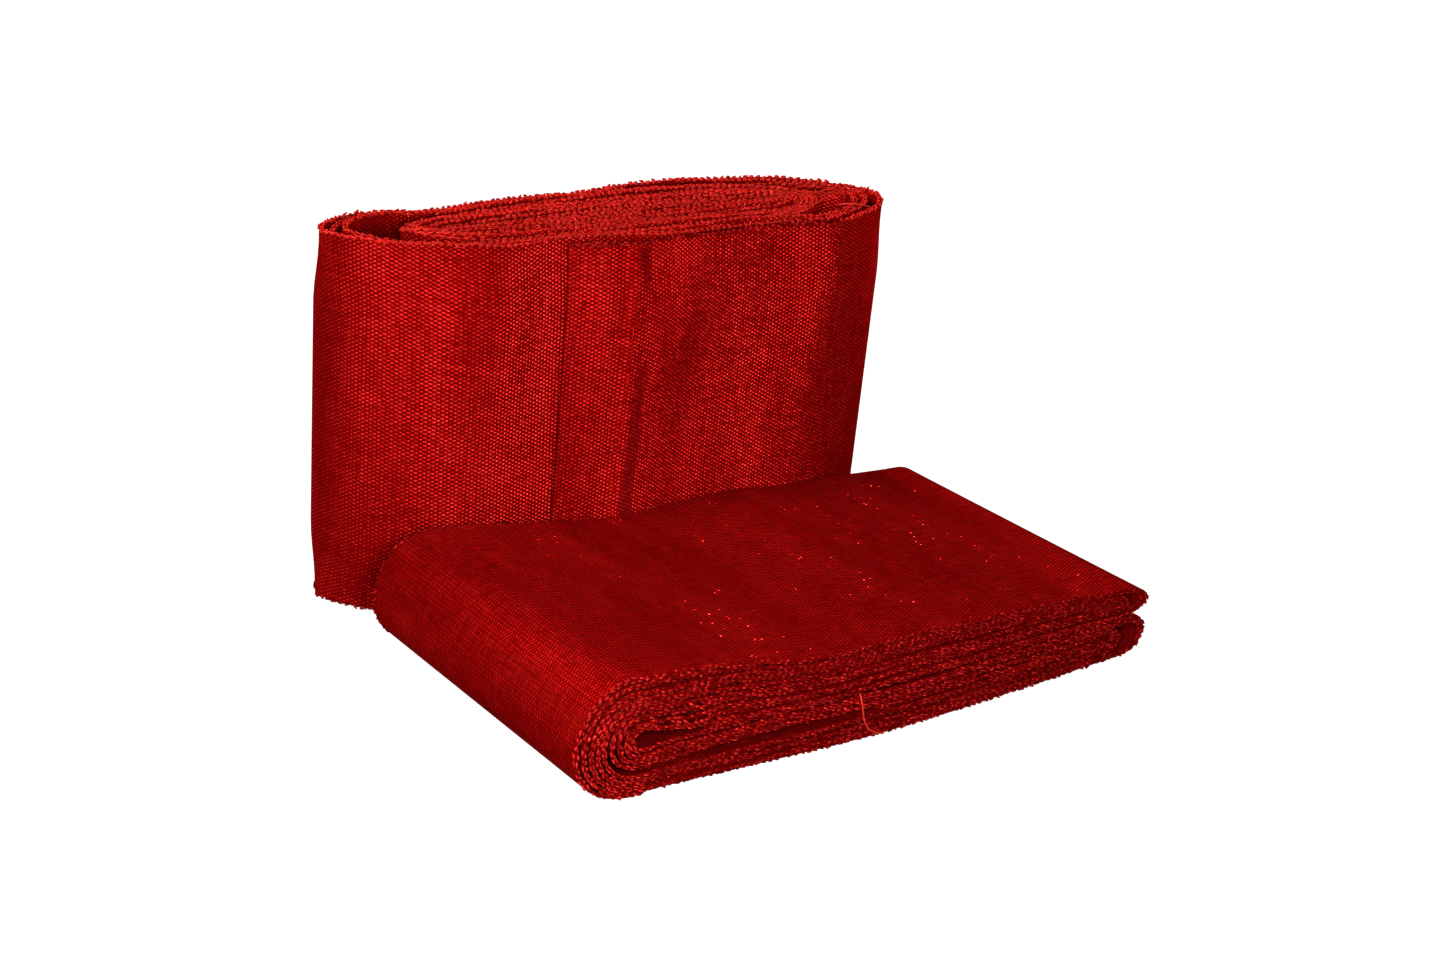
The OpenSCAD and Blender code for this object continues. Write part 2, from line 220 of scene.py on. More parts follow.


# %% [markdown]
# The cloth is a plain weave: yarns along the band go over and under yarns across it. Seen close,
# each crossing is a small oval dome, and every other dome is a float, whose yarn on top lies along
# the light. The colour paints a highlight on the top of each float and shade on the ground cells
# between them. The weave is written on the strip's own UV map, which holds metres along and across
# the band, so it follows every turn. An image could do this too, but a formula stays sharp at any
# distance. The same formula gives the slopes of the domes, and they go in as a normal map: a Bump
# node compares neighbouring pixels and would lose domes this small.

# %% Cells of the weave
class Weave:
    """Where a point lies in its crossing: how far along and across, and whether it is a float."""

    def __init__(self, cloth, place, along_pitch, across_pitch):
        along = cloth.node("ShaderNodeSeparateXYZ", {}, {"Vector": place}, "X") / along_pitch
        across = cloth.node("ShaderNodeSeparateXYZ", {}, {"Vector": place}, "Y") / across_pitch
        column, row = cloth.math("FLOOR", along), cloth.math("FLOOR", across)
        self.over = cloth.math("FLOORED_MODULO", column + row, 2.0)
        turn_along = cloth.math("FRACT", along) * math.pi
        turn_across = cloth.math("FRACT", across) * math.pi
        self.rise, self.fall = cloth.math("SINE", turn_along), cloth.math("COSINE", turn_along)
        self.bulge, self.roll = cloth.math("SINE", turn_across), cloth.math("COSINE", turn_across)
        cell = cloth.node("ShaderNodeCombineXYZ", {}, {"X": column, "Y": row})
        flat = {"noise_dimensions": "2D"}
        self.odd_one = cloth.node("ShaderNodeTexWhiteNoise", flat, {"Vector": cell}, "Value")


# %% [markdown]
# The floats shine in their own red, as metal does, so they are partly metallic, and the twist of
# their yarn tilts them all a little to one side. Noise drawn out along and across the band gives
# yarns of uneven thickness, and wide bars in which the floats have more or less lustre. On the
# folded wrap a stray crossing here and there stands up and glints.

# %% Woven cloth finish
yarn_noise, bar_noise = 800, 85
slub_stretch, pick_stretch, bar_stretch = (0.25, 3.0, 1), (3.0, 0.25, 1), (1.0, 0.22, 1)
bar_depth, most_lustre = 1.6, 1.12
ground_crown, float_crown = 0.16, 0.34
twist_along, twist_across = 0.28, 0.3
uneven_tilt = 0.16
stray_level, stray_tip = 1.05, 0.8
stray_along, stray_across = 1.2, 2.2


def satin(name):
    """A red finish with a soft red shine, as filament yarn has."""
    finish = Finish(name, Specular_IOR_Level=0.0)
    finish.shader.inputs["Specular Tint"].default_value = (1.0, 0.06, 0.05, 1)
    return finish


def drawn_out(cloth, place, stretch, scale, detail):
    """Noise round 0 that is stretched along or across the band."""
    stretched = cloth.node("ShaderNodeMapping", {}, {"Vector": place, "Scale": stretch})
    return cloth.noise(scale, detail, stretched) - 0.5


def woven_cloth(name, ground, float_dark, float_bright, along_pitch, across_pitch, glints=0.0):
    """A plain weave on the UV map. With glints of 1, stray crossings stand up and catch the light."""
    cloth = satin(name)
    place = cloth.node("ShaderNodeUVMap", {"uv_map": "Weave"}, {})
    slubs = drawn_out(cloth, place, slub_stretch, yarn_noise, 2)
    picks = drawn_out(cloth, place, pick_stretch, yarn_noise, 2)
    bars = drawn_out(cloth, place, bar_stretch, bar_noise, 3)
    weave = Weave(cloth, place, along_pitch, across_pitch)
    over, dome = weave.over, weave.rise * weave.bulge

    lustre = cloth.math("MINIMUM", 1.0 + bar_depth * bars, most_lustre)
    # shine makes the colour brightest on top of each float's dome, a painted highlight, and keeps the
    # ground cells dark, a painted shade between the floats. It also sets the floats' metal and roughness.
    shine = over * lustre * cloth.math("MINIMUM", dome * 2.5, 1.0)
    streaks = slubs + picks + 1.3 * bars
    floats = cloth.mix(weave.odd_one * 0.6 + streaks + 0.3, float_dark, float_bright)
    colour = cloth.mix(shine * 0.8 + 0.3 * streaks, ground, floats)

    stray = glints * cloth.math("GREATER_THAN", weave.odd_one + 0.6 * (bars + picks), stray_level)
    stray = stray * cloth.math("GREATER_THAN", dome, stray_tip)
    crown = ground_crown + float_crown * over
    slope_along = crown * weave.fall * weave.bulge + twist_along * over
    slope_along = slope_along + uneven_tilt * (weave.odd_one - 0.5) + stray_along * stray
    slope_across = 1.1 * crown * weave.rise * weave.roll - twist_across * over + stray_across * stray
    leaning = {"X": 0.5 - 0.5 * slope_along, "Y": 0.5 - 0.5 * slope_across, "Z": 1.0}
    facing = cloth.node("ShaderNodeCombineXYZ", {}, leaning)
    domes = cloth.node("ShaderNodeNormalMap", {"uv_map": "Weave"}, {"Color": facing})
    uneven_yarn = {"Strength": 0.5, "Distance": 0.08 * mm, "Height": slubs, "Normal": domes}
    bump = cloth.node("ShaderNodeBump", {}, uneven_yarn)
    metal = 0.12 + 0.6 * shine + 0.2 * stray
    rough = 0.6 - 0.28 * shine - 0.13 * stray
    cloth.show(Base_Color=colour, Metallic=metal, Roughness=rough, Normal=bump)
    return cloth.material


warp_pitch, weft_pitch = 0.27 * mm, 0.485 * mm
# The dark ground red is painted shade in the low cells between the floats.
shaded_ground_red = (0.14, 0.0003, 0.0004, 1)
float_reds = (0.3, 0.0012, 0.0012, 1), (0.95, 0.02, 0.016, 1)
folded_cloth = woven_cloth("folded_cloth", shaded_ground_red, *float_reds, weft_pitch, warp_pitch, 1.0)
standing_cloth = woven_cloth("standing_cloth", shaded_ground_red, *float_reds, weft_pitch, warp_pitch)
print("yarns in a centimetre:", round(0.01 / warp_pitch), "by", round(0.01 / weft_pitch))

# %% [markdown]
# At the edges of the band the crosswise yarn turns back, and the turns show as rows of beads.
# Each bead has its own tone, with a painted highlight at its tip, kept in an attribute on its vertices.

# %% Selvedge yarn finish
def yarn_finish(name, dark, bright):
    yarn = satin(name)
    tone = yarn.node("ShaderNodeAttribute", {"attribute_name": "tone"}, {}, "Fac")
    place = yarn.node("ShaderNodeTexCoord", {}, {}, "Object")
    fibres = yarn.noise(5200, 2, place)
    colour = yarn.mix(tone + 0.3 * (fibres - 0.5), dark, bright)
    bump = yarn.node("ShaderNodeBump", {}, {"Strength": 0.5, "Distance": 0.05 * mm, "Height": fibres})
    yarn.show(Base_Color=colour, Metallic=0.15 + 0.4 * tone, Roughness=0.5 - 0.2 * tone, Normal=bump)
    return yarn.material


selvedge_yarn = yarn_finish("selvedge_yarn", (0.11, 0.0002, 0.0005, 1), (1.0, 0.03, 0.025, 1))
# The top rows' yarn is a brighter copy of the selvedge yarn: painted light where the light falls on them.
lit_top_yarn = yarn_finish("lit_top_selvedge_yarn", (0.4, 0.0015, 0.0015, 1), (1.0, 0.05, 0.035, 1))

# %% [markdown]
# A strip of cloth starts as a flat grid, as it was cut. Its columns are then moved to the points
# of a line, which is the way that the band takes through the coil, and its rows are spread over
# the band's width. The grid keeps a UV map in metres. Last, the sheet gets its thickness. This is
# what happens to the real band when it is rolled, and it keeps the weave even on every turn.

# %% A strip of cloth along a line
def lengths_along(line):
    return np.concatenate([[0], np.cumsum(np.linalg.norm(np.diff(line, axis=0), axis=1))])


def corner_numbers(mesh, layer):
    values = np.zeros(2 * len(mesh.loops), np.float32)
    layer.uv.foreach_get("vector", values)
    return values.reshape(-1, 2)


def point_numbers(mesh):
    values = np.zeros(3 * len(mesh.vertices), np.float32)
    mesh.vertices.foreach_get("co", values)
    return values.reshape(-1, 3).astype(float)


def set_points(mesh, points):
    mesh.vertices.foreach_set("co", np.asarray(points, np.float32).ravel())
    mesh.update()


def strip(line, low_edge, high_edge, rows, place, thick=band_t, start=0.0):
    """A mesh of one stretch of band. place() makes a point of the line's two numbers and the one across."""
    columns = len(line) - 1
    grid = bmesh.new()
    grid.loops.layers.uv.new("Weave")
    bmesh.ops.create_grid(grid, x_segments=columns, y_segments=rows, size=0.5, calc_uvs=True)
    mesh = bpy.data.meshes.new("strip")
    grid.to_mesh(mesh)
    grid.free()
    points = point_numbers(mesh)
    index, share = (points[:, 0] + 0.5) * columns, points[:, 1] + 0.5
    steps = np.arange(columns + 1)
    first, second = np.interp(index, steps, line[:, 0]), np.interp(index, steps, line[:, 1])
    low, high = np.interp(index, steps, low_edge), np.interp(index, steps, high_edge)
    set_points(mesh, place(first, second, low + (high - low) * share))
    weave = corner_numbers(mesh, mesh.uv_layers["Weave"])
    weave[:, 0] = start + np.interp(weave[:, 0] * columns, steps, lengths_along(line))
    weave[:, 1] *= band_w
    mesh.uv_layers["Weave"].uv.foreach_set("vector", weave.ravel())
    sheet = bmesh.new()
    sheet.from_mesh(mesh)
    sheet.normal_update()
    for corner in sheet.verts:
        corner.co += corner.normal * thick / 2
    bmesh.ops.solidify(sheet, geom=sheet.faces[:], thickness=thick)
    sheet.to_mesh(mesh)
    sheet.free()
    return mesh


# %% [markdown]
# Beads, stitches, hooks and loops are all small dabs of yarn. One small ball is copied by doubling
# until there are enough, and each copy is then stretched, turned and set in its place. A ball has
# 24 faces: there are thousands of them, and each is only a few pixels wide.

# %% Small dabs of yarn
chance = np.random.default_rng(5)


def many_balls(count):
    balls = bmesh.new()
    bmesh.ops.create_uvsphere(balls, u_segments=6, v_segments=4, radius=1)
    in_one = len(balls.verts)
    while len(balls.verts) < count * in_one:
        bmesh.ops.duplicate(balls, geom=balls.verts[:] + balls.edges[:] + balls.faces[:])
    balls.verts.ensure_lookup_table()
    bmesh.ops.delete(balls, geom=balls.verts[count * in_one:], context="VERTS")
    mesh = bpy.data.meshes.new("dabs")
    balls.to_mesh(mesh)
    balls.free()
    return mesh, in_one


def dabs(middle, way, out, size, place, tone, droop=0.0):
    """Balls stretched to size along way, aside and out. The ends of a dab droop to the cloth."""
    count = len(middle)
    mesh, in_one = many_balls(count)
    shape = point_numbers(mesh).reshape(count, in_one, 3)
    axes = np.stack([way, np.cross(out, way), out], axis=1)
    points = middle[:, None, :] + np.einsum("nvk,nkc->nvc", shape * size[:, None, :], axes)
    points -= droop * shape[:, :, :1] ** 2 * out[:, None, :]
    flat = points.reshape(-1, 3)
    set_points(mesh, place(flat[:, 0], flat[:, 1], flat[:, 2]))
    # Each dab is brighter towards its tip, a painted highlight multiplied into its own tone; the tone also
    # raises its metal and lowers its roughness.
    tip_highlight = np.clip(shape[:, :, 2], 0, 1)
    tones_with_tip_highlight = np.asarray(tone)[:, None] * (0.5 + 0.5 * tip_highlight)
    layer = mesh.attributes.new("tone", "FLOAT", "POINT")
    layer.data.foreach_set("value", tones_with_tip_highlight.ravel().astype(np.float32))
    return mesh


# %% [markdown]
# A selvedge is two rows of beads, one on each side of the cloth's edge. Even rows would look like
# a zip, so each bead slips a little out of line, and its tilt, size and tone differ too. All of
# that comes from one seeded generator, which gives the same beads in every run.

# %% Beads along a selvedge
bead_pitch = 0.46 * mm
bead_size = np.array([0.18, 0.125, 0.22]) * mm
bead_sizes = 0.75, 1.25
slip_along, slip_aside, slip_out = 0.07, 0.06, 0.1
stand_out, bead_tilt = 0.02, 0.25
tone_spread = 0.8, 1.6
nearby = 0.05 * mm


def beads(line, edge, outward, place, aside, phase, dull):
    """One row of beads along a line, at the height edge across it, standing out by 1 or -1."""
    lengths = lengths_along(line)
    count = max(2, int(lengths[-1] / bead_pitch))
    at = (np.arange(count) + phase) / count * lengths[-1]
    at = at + chance.normal(0, slip_along, count) * bead_pitch

    def on_line(places):
        return np.column_stack([np.interp(places, lengths, line[:, k]) for k in (0, 1)])

    way = on_line(at + nearby) - on_line(at - nearby)
    way /= np.linalg.norm(way, axis=1)[:, None]
    side = np.column_stack([-way[:, 1], way[:, 0]])
    middle = on_line(at) + (aside + chance.normal(0, slip_aside, count) * mm)[:, None] * side
    across = np.interp(at, lengths, edge) + outward * chance.normal(stand_out, slip_out, count) * mm
    flat_way = np.column_stack([way, chance.normal(0, bead_tilt, count)])
    flat_way /= np.linalg.norm(flat_way, axis=1)[:, None]
    out = np.tile([0.0, 0.0, outward], (count, 1))
    size = chance.uniform(*bead_sizes, (count, 3)) * bead_size
    tone = chance.beta(*tone_spread, count) ** dull
    return dabs(np.column_stack([middle, across]), flat_way, out, size, place, tone)


def selvedge(line, edge, outward, place, apart=0.28 * mm, dull=1.0):
    """Both rows of beads of one edge. The second row fills the gaps of the first."""
    return [beads(line, edge, outward, place, -apart / 2, 0.25, dull),
            beads(line, edge, outward, place, apart / 2, 0.75, dull)]


# %% [markdown]
# A piece may hold several such meshes. They are gathered in one bmesh, and the object is left at
# the origin with its place in its mesh, as the solids are.

# %% Gather meshes into a piece
def piece(name, meshes, material, sharp=None):
    gathered = bmesh.new()
    for mesh in meshes:
        gathered.from_mesh(mesh)
        bpy.data.meshes.remove(mesh)
    made = bpy.data.meshes.new(name)
    gathered.to_mesh(made)
    gathered.free()
    made.materials.append(material)
    made.shade_smooth()
    if sharp:
        made.set_sharp_from_angle(angle=math.radians(sharp))
    item = bpy.data.objects.new(name, made)
    bpy.context.scene.collection.objects.link(item)
    print(name, "has", len(made.polygons), "faces")
    return item


# %% [markdown]
# The folded wrap is worked out as if every layer had an even height, and one function then settles
# it. First come the spaces that it needs. The space between the halves closes along the edges,
# where nothing holds it open. The one in the middle of each half is wide only at the thumb loop.
# Left of the hem the upper half has one layer less, and its inner layers sink into that room.

# %% Spaces between the folded layers
def smooth(value, start, end):
    share = np.clip((value - start) / (end - start), 0, 1)
    return share * share * (3 - 2 * share)


def within(value, low, high, slope):
    """1 from low to high, and down to 0 over a slope on both sides."""
    return smooth(value, low - slope, low) * (1 - smooth(value, high, high + slope))


patch_low, patch_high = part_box("folded_hook_patch")
hem_low, hem_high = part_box("folded_hem")
thumb_low, thumb_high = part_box("folded_thumb_loop")
fold_z = folded_t / 2
group_t = (turns - 1) * layer_pitch + band_t
fold_gap, edge_gap = 1.25 * mm, 0.2 * mm
eye_len, eye_power = 19 * mm, 1.3
pinch_from, pinch_to = 0.4 * mm, 3.6 * mm
patch_slope = 6 * mm
loop_slope_x, loop_slope_y = 3 * mm, 4 * mm
core_len = 30 * mm
sink_to = hem_low.x - 1.5 * mm
rise_from, rise_to = hem_low.x - 1.2 * mm, hem_low.x + 2 * mm


def halves_apart(x, y):
    """The space between the two halves at a place."""
    open_share = (1 - smooth(x, bend_x, bend_x + eye_len)) ** eye_power
    closing = edge_gap + (fold_gap - edge_gap) * open_share
    inside = smooth(np.minimum(y - front_y, back_y - y), pinch_from, pinch_to)
    over_patch = within(x, patch_low.x - patch_slope, patch_high.x, patch_slope)
    return closing + (closure_room - closing) * inside * over_patch


def core_apart(x, y):
    """The space in the middle of each half, which is wider where the thumb loop lies in it."""
    over_loop = within(x, thumb_low.x, thumb_high.x, loop_slope_x)
    over_loop *= within(y, thumb_low.y, thumb_high.y, loop_slope_y)
    narrow = edge_gap * smooth(x, bend_x, bend_x + core_len) * (0.8 + 0.5 * np.sin(x / (6 * mm)))
    return narrow + (half_t - 2 * group_t - narrow) * over_loop


def sunk(x, h, out):
    """The distance out from the middle after the layers of the upper half have sunk left of the hem."""
    empty_to, group_to = closure_room / 2 + layer_pitch, closure_room / 2 + group_t
    sink = layer_pitch * smooth(x, bend_x, sink_to) * (1 - smooth(x, rise_from, rise_to))
    sink = np.where(h > fold_z, sink, 0)
    below = out * (empty_to - sink) / empty_to
    above = group_to - (group_to - out) * (group_to - empty_to + sink) / (group_to - empty_to)
    return np.where(out < empty_to, below, np.where(out < group_to, above, out))


middle_y = (front_y + back_y) / 2
print("space at the patch in mm:", round(float(halves_apart(patch_low.x, middle_y)) / mm, 2))

# %% [markdown]
# The cloth isn't flat either. The layers play a little against each other, and the lying face has
# low waves and a few slanted creases. A wave is a sine, given by its height, its start and its
# lengths along and across. A crease is a narrow bell, given by its height, middle, slant and
# width. All but the slant are in millimetres.

# %% Waves and creases of the folded wrap
play = 0.14 * mm
waves = (0.26, 0, 7.3, 61), (0.14, 0, 3.9, -43), (-0.25, 22, 8.3, math.inf)
creases = (-0.22, 17, 0.08, 1.3), (0.15, 29, -0.05, 1.0), (-0.12, -4, 0.04, 2.2)


def bell_curve(value, middle, width):
    return np.exp(-(((value - middle) / width) ** 2))


def layer_play(x, y, depth):
    """Ups and downs of the layers, which fade out at the middle and at the faces."""
    loose = np.sin(x / (4.6 * mm) + 5 * depth + y / (40 * mm))
    loose += 0.7 * np.sin(x / (2.3 * mm) - 7 * depth)
    inside = np.sin(2 * math.pi * np.clip(depth, 0, 1))
    return play * loose * inside * smooth(x, bend_x, bend_x + 6 * mm)


def face_waves(x, y):
    """How far the lying face stands up or sinks in."""
    relief = np.zeros_like(x)
    for height, start, along, across in waves:
        relief += height * mm * np.sin((x + start * mm) / (along * mm) + y / (across * mm))
    for height, middle, slant, width in creases:
        relief += height * mm * bell_curve(x - slant * y, middle * mm, width * mm)
    return relief


relief = face_waves(np.linspace(bend_x, right_x, 200), np.full(200, middle_y))
print("lying face in mm: from", round(relief.min() / mm, 2), "to", round(relief.max() / mm, 2))

# %% [markdown]
# Now the settling itself. It closes the spaces from the middle outwards, presses the layers
# together towards the open end, and lifts the underside off the table there. All layers, beads
# and patches go through this one function, and so they keep their order.

# %% How the folded wrap settles
eye_drop, drop_from, drop_to = 1.0 * mm, 4 * mm, 30 * mm
fold_shift, shift_len = 1.7 * mm, 14 * mm
sway_len = 8 * mm


def settled_out(x, y, out):
    """How far a point comes to lie from the middle, when the spaces have their real widths."""
    gap = halves_apart(np.maximum(x, bend_x), y) / 2
    core = core_apart(x, y)
    group = (fold_z - gap - core) / 2
    inner, outer = closure_room / 2 + group_t, fold_z - group_t
    settled = gap * np.clip(out / (closure_room / 2), 0, 1)
    settled += group * np.clip((out - closure_room / 2) / group_t, 0, 1)
    settled += core * np.clip((out - inner) / (outer - inner), 0, 1)
    settled += group * np.clip((out - outer) / group_t, 0, None)
    return settled


def settle(x, h, y):
    """Where a point of the folded wrap comes to lie: x, y, and the height h of an even coil."""
    round_fold = x < bend_x
    out = np.where(round_fold, np.hypot(x - bend_x, h - fold_z), sunk(x, h, np.abs(h - fold_z)))
    settled = settled_out(x, y, out)
    depth = settled / fold_z
    settled += layer_play(x, y, depth)
    share = settled / np.maximum(out, 1e-9)
    level = np.where(round_fold, fold_z + (h - fold_z) * share, fold_z + np.sign(h - fold_z) * settled)
    x = np.where(round_fold, bend_x + (x - bend_x) * share, x)
    x = x + fold_shift * (1 - np.clip(depth, 0, 1)) * (1 - smooth(x, bend_x, bend_x + shift_len))

    middle = np.sin(math.pi * np.clip(level / folded_t, 0, 1))
    level = level - eye_drop * middle * (1 - smooth(x, bend_x + drop_from, bend_x + drop_to))
    along = np.clip((x - bend_x) / (right_x - bend_x), 0, None)
    lower = np.minimum(level, fold_z) * (1 + (lower_share - 1) * along)
    upper = np.maximum(level - fold_z, 0) * (1 + (upper_share - 1) * along)
    lift_x = bend_x + flat_len
    lift = end_lift * np.clip((x - lift_x) / (right_x - lift_x), 0, None) ** lift_power
    sway = level / folded_t * smooth(x, bend_x, bend_x + sway_len) * face_waves(x, y)
    return np.column_stack([x, y, lift + lower + upper + sway])


open_end = settle(np.full(2, right_x), np.array([0, folded_t]), np.full(2, middle_y))[:, 2]
print("open end in mm: from", round(open_end[0] / mm, 1), "to", round(open_end[1] / mm, 1), "high")

# %% [markdown]
# Each half of the folded wrap is five hairpins, one inside the other. The inner ones don't reach
# as far into the open end as the outer two, and that leaves the small dark eye in each lobe.

# %% Lines of the folded layers
leg_steps, arc_steps = 40, 22
seam_x = bend_x + 2 * mm
pulled_back = {"lower": 2.8 * mm, "upper": 1.9 * mm}


def hairpin(level, half, inner_x):
    """One layer of a half, from its outer leg round the open end and back on its inner leg."""
    deep = level * layer_pitch + band_t / 2
    radius = half_t / 2 - deep
    turn_x = lobe_x - (pulled_back[half] if level > 1 else 0)
    angle = np.linspace(0, math.pi, arc_steps)
    out = np.linspace(seam_x, turn_x, leg_steps)[:-1]
    home = np.linspace(turn_x, inner_x, leg_steps)[1:]
    x = np.concatenate([out, turn_x + radius * np.sin(angle), home])
    round_end = half_t / 2 - radius * np.cos(angle)
    h = np.concatenate([np.full(len(out), deep), round_end, np.full(len(home), half_t - deep)])
    return np.column_stack([x, h if half == "lower" else folded_t - h])


def ragged(line, most):
    """How far the selvedge of a layer stays back, slowly changing along it."""
    lengths = lengths_along(line)
    start = chance.uniform(0.1, 0.6)
    swings = chance.uniform(14, 30, 2) * mm
    turn_by = chance.uniform(0, 2 * math.pi, 2)
    swing = 0.25 * np.sin(lengths / swings[0] + turn_by[0])
    swing += 0.15 * np.sin(lengths / (0.4 * swings[1]) + turn_by[1])
    return most * np.clip(start + swing, 0, 1)


# %% [markdown]
# The free end of this wrap is tucked in between the halves, on the upper one. It is hemmed: the
# band turns back on itself at the tip, so its line gets one more short leg.

# %% Layers of the two halves
inner_end_x = thumb_high.x - 8 * mm
hem_drop = 0.5 * mm
stays_back = 0.95 * mm
cloth_rows, cloth_crease = 18, 60


def with_hem(line):
    """The line of the layer that ends in the hem, with the turned-back leg."""
    x, h = line[-1]
    angle = np.linspace(0, math.pi, 8)[1:-1]
    turn = np.column_stack([x - hem_drop / 2 * np.sin(angle), h - hem_drop / 2 * (1 - np.cos(angle))])
    leg = np.linspace((x, h - hem_drop), (hem_high.x, h - hem_drop), 10)
    return np.concatenate([line, turn, leg])


halves, half_edges, half_lengths = {}, {}, {}
for half in ("lower", "upper"):
    layers, front_rows, rear_rows, total = [], [], [], 0.0
    for level in range(turns):
        inner_x = seam_x
        if half == "lower" and level == turns - 1:
            inner_x = inner_end_x
        if half == "upper" and level == 0:
            inner_x = hem_low.x
        line = hairpin(level, half, inner_x)
        if inner_x == hem_low.x:
            line = with_hem(line)
        front = front_y + ragged(line, stays_back)
        rear = back_y - ragged(line, stays_back)
        layers.append(strip(line, front, rear, cloth_rows, settle, start=total))
        front_rows += selvedge(line, front, -1, settle)
        rear_rows += selvedge(line, rear, 1, settle)
        total += lengths_along(line)[-1]
    halves[half] = piece(half + "_layers", layers, folded_cloth, cloth_crease)
    half_edges[half] = [piece(half + "_selvedge_front", front_rows, selvedge_yarn),
                        piece(half + "_selvedge_rear", rear_rows, selvedge_yarn)]
    half_lengths[half] = total
    for item in [halves[half]] + half_edges[half]:
        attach(item, "folded_" + half)
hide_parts("folded_lower_half")
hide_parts("folded_upper_half", "folded_hem")
print("band in the halves, m:", {half: round(total, 3) for half, total in half_lengths.items()})

# %% [markdown]
# Round the fold the layers are half rings: five outer ones, and four inner ones which pass from
# one layer to the next. Each ring is a piece of its own, and the heights of its bottom and its top
# are taken after the layers have settled.

# %% Layers round the fold
ring_steps = 36
# The beads round the fold get brighter tones through a smaller power: a painted highlight for the fold's
# bright side.
ring_stays_back, ring_lit_dull = 0.6 * mm, 0.6


def ring(bottom_radius, top_radius):
    angle = np.linspace(1.5 * math.pi, 0.5 * math.pi, ring_steps)
    radius = np.linspace(bottom_radius, top_radius, ring_steps)
    x, h = bend_x + radius * np.cos(angle), fold_z + radius * np.sin(angle)
    leg = np.linspace(seam_x, bend_x, 4)[:-1]
    x = np.concatenate([leg, x, leg[::-1]])
    h = np.concatenate([np.full(3, h[0]), h, np.full(3, h[-1])])
    return np.column_stack([x, h])


ring_radii = [(folded_t / 2 - level * layer_pitch - band_t / 2,) * 2 for level in range(turns)]
for level in range(turns - 1):
    inner = closure_room / 2 + level * layer_pitch + band_t / 2
    ring_radii.append((inner, inner + layer_pitch))
fold_pieces = []
for number, (bottom, top) in enumerate(ring_radii):
    line = ring(bottom, top)
    front = front_y + ragged(line, ring_stays_back)
    rear = back_y - ragged(line, ring_stays_back)
    layer = [strip(line, front, rear, cloth_rows, settle)]
    cloth = piece(f"fold_layer_{number + 1}", layer, folded_cloth, cloth_crease)
    rows = selvedge(line, front, -1, settle, dull=ring_lit_dull)
    rows += selvedge(line, rear, 1, settle, dull=ring_lit_dull)
    edge = piece(f"fold_edge_{number + 1}", rows, selvedge_yarn)
    low, high = settle(line[[0, -1], 0], line[[0, -1], 1], np.zeros(2))[:, 2]
    for item in (cloth, edge):
        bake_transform(item)
        fold_pieces.append(item)
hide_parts("folded_bend")

# %% [markdown]
# The standing coil is one line from the free end to the middle. Its front and back runs are
# straight, and half ovals join them at both ends. The outer three turns go right to the ends, and
# the inner ones stop short of them, which leaves the two open eyes at the top.

# %% Line of the standing coil
inner_from = 3
eye = {1: 7.5 * mm, -1: 8 * mm}
second_eye = 0.15
inner_straight = {1: 22 * mm, -1: 18 * mm}


def front_run(level):
    return -half_thick + level * coil_pitch + (closure_room if level else 0) + band_t / 2


def back_run(level):
    return half_thick - level * coil_pitch - band_t / 2


def end_turn(level, front, rear, side):
    """Half an oval from the front run to the back run, on the right (1) or on the left (-1)."""
    short = closure_room / 2 if level else 0
    if level >= inner_from:
        short += eye[side]
    elif level == inner_from - 1:
        short += second_eye * eye[side]
    reach = half_len - level * end_step - short - band_t / 2
    start = straight_x if level < inner_from else inner_straight[side]
    angle = np.linspace(-math.pi / 2, math.pi / 2, 24)
    x = start + (reach - start) * np.cos(angle)
    y = (front + rear) / 2 + (rear - front) / 2 * np.sin(angle)
    return np.column_stack([side * x, y])


def between(first, last, step):
    count = max(2, int(np.linalg.norm(np.subtract(last, first)) / step))
    return np.linspace(first, last, count + 1)[1:-1]


def coil_line():
    parts, step = [], 2.2 * mm
    for level in range(coil_turns):
        right_turn = end_turn(level, front_run(level), back_run(level), 1)
        left_turn = end_turn(level, front_run(level + 1), back_run(level), -1)[::-1]
        if parts:
            parts.append(between(parts[-1][-1], right_turn[0], step))
        parts += [right_turn, between(right_turn[-1], left_turn[0], step), left_turn]
    last = np.array([6 * mm, front_run(coil_turns)])
    parts.append(between(parts[-1][-1], last, step))
    return np.concatenate(parts)


# %% [markdown]
# The coil isn't an even oval. It is thickest right of its middle, its left end lies further back,
# it flares towards the top on the right, and its faces have soft upright ripples. At both edges
# the layers close up on the empty core. As with the folded wrap, one function moves every layer
# alike, and it adds up what the smaller ones give.

# %% How the standing coil leans
core_front, core_back = front_run(coil_turns), back_run(coil_turns - 1)
core_closes, closes_from, closes_to = 0.38, 0.3 * band_w, 0.47 * band_w
belly_from, belly_to = 14 * mm, 46 * mm
front_belly, back_belly = 1.9 * mm, 0.7 * mm
top_from, top_pulled_in = 41 * mm, 0.55
faces_from, faces_to = 5 * mm, 10 * mm
ends_calm = 12 * mm
back_ripple, low_ripple = 0.65, 0.25
upright_high, upright_len, upright_start = 0.75 * mm, 4.0 * mm, 4.9
bent_by, bent_len, bent_start = 0.7, 13 * mm, 0.6
fine_high, fine_len, fine_rise = 0.2 * mm, 1.9 * mm, 22 * mm
dent_deep, dent_wide = 0.6 * mm, 4.5 * mm
dent_low, dent_more = 2.5 * mm, 2.1 * mm
curl_deep, curl_x, curl_wide, curl_from = 1.1 * mm, -24 * mm, 9 * mm, 39 * mm
flare_share = 0.065


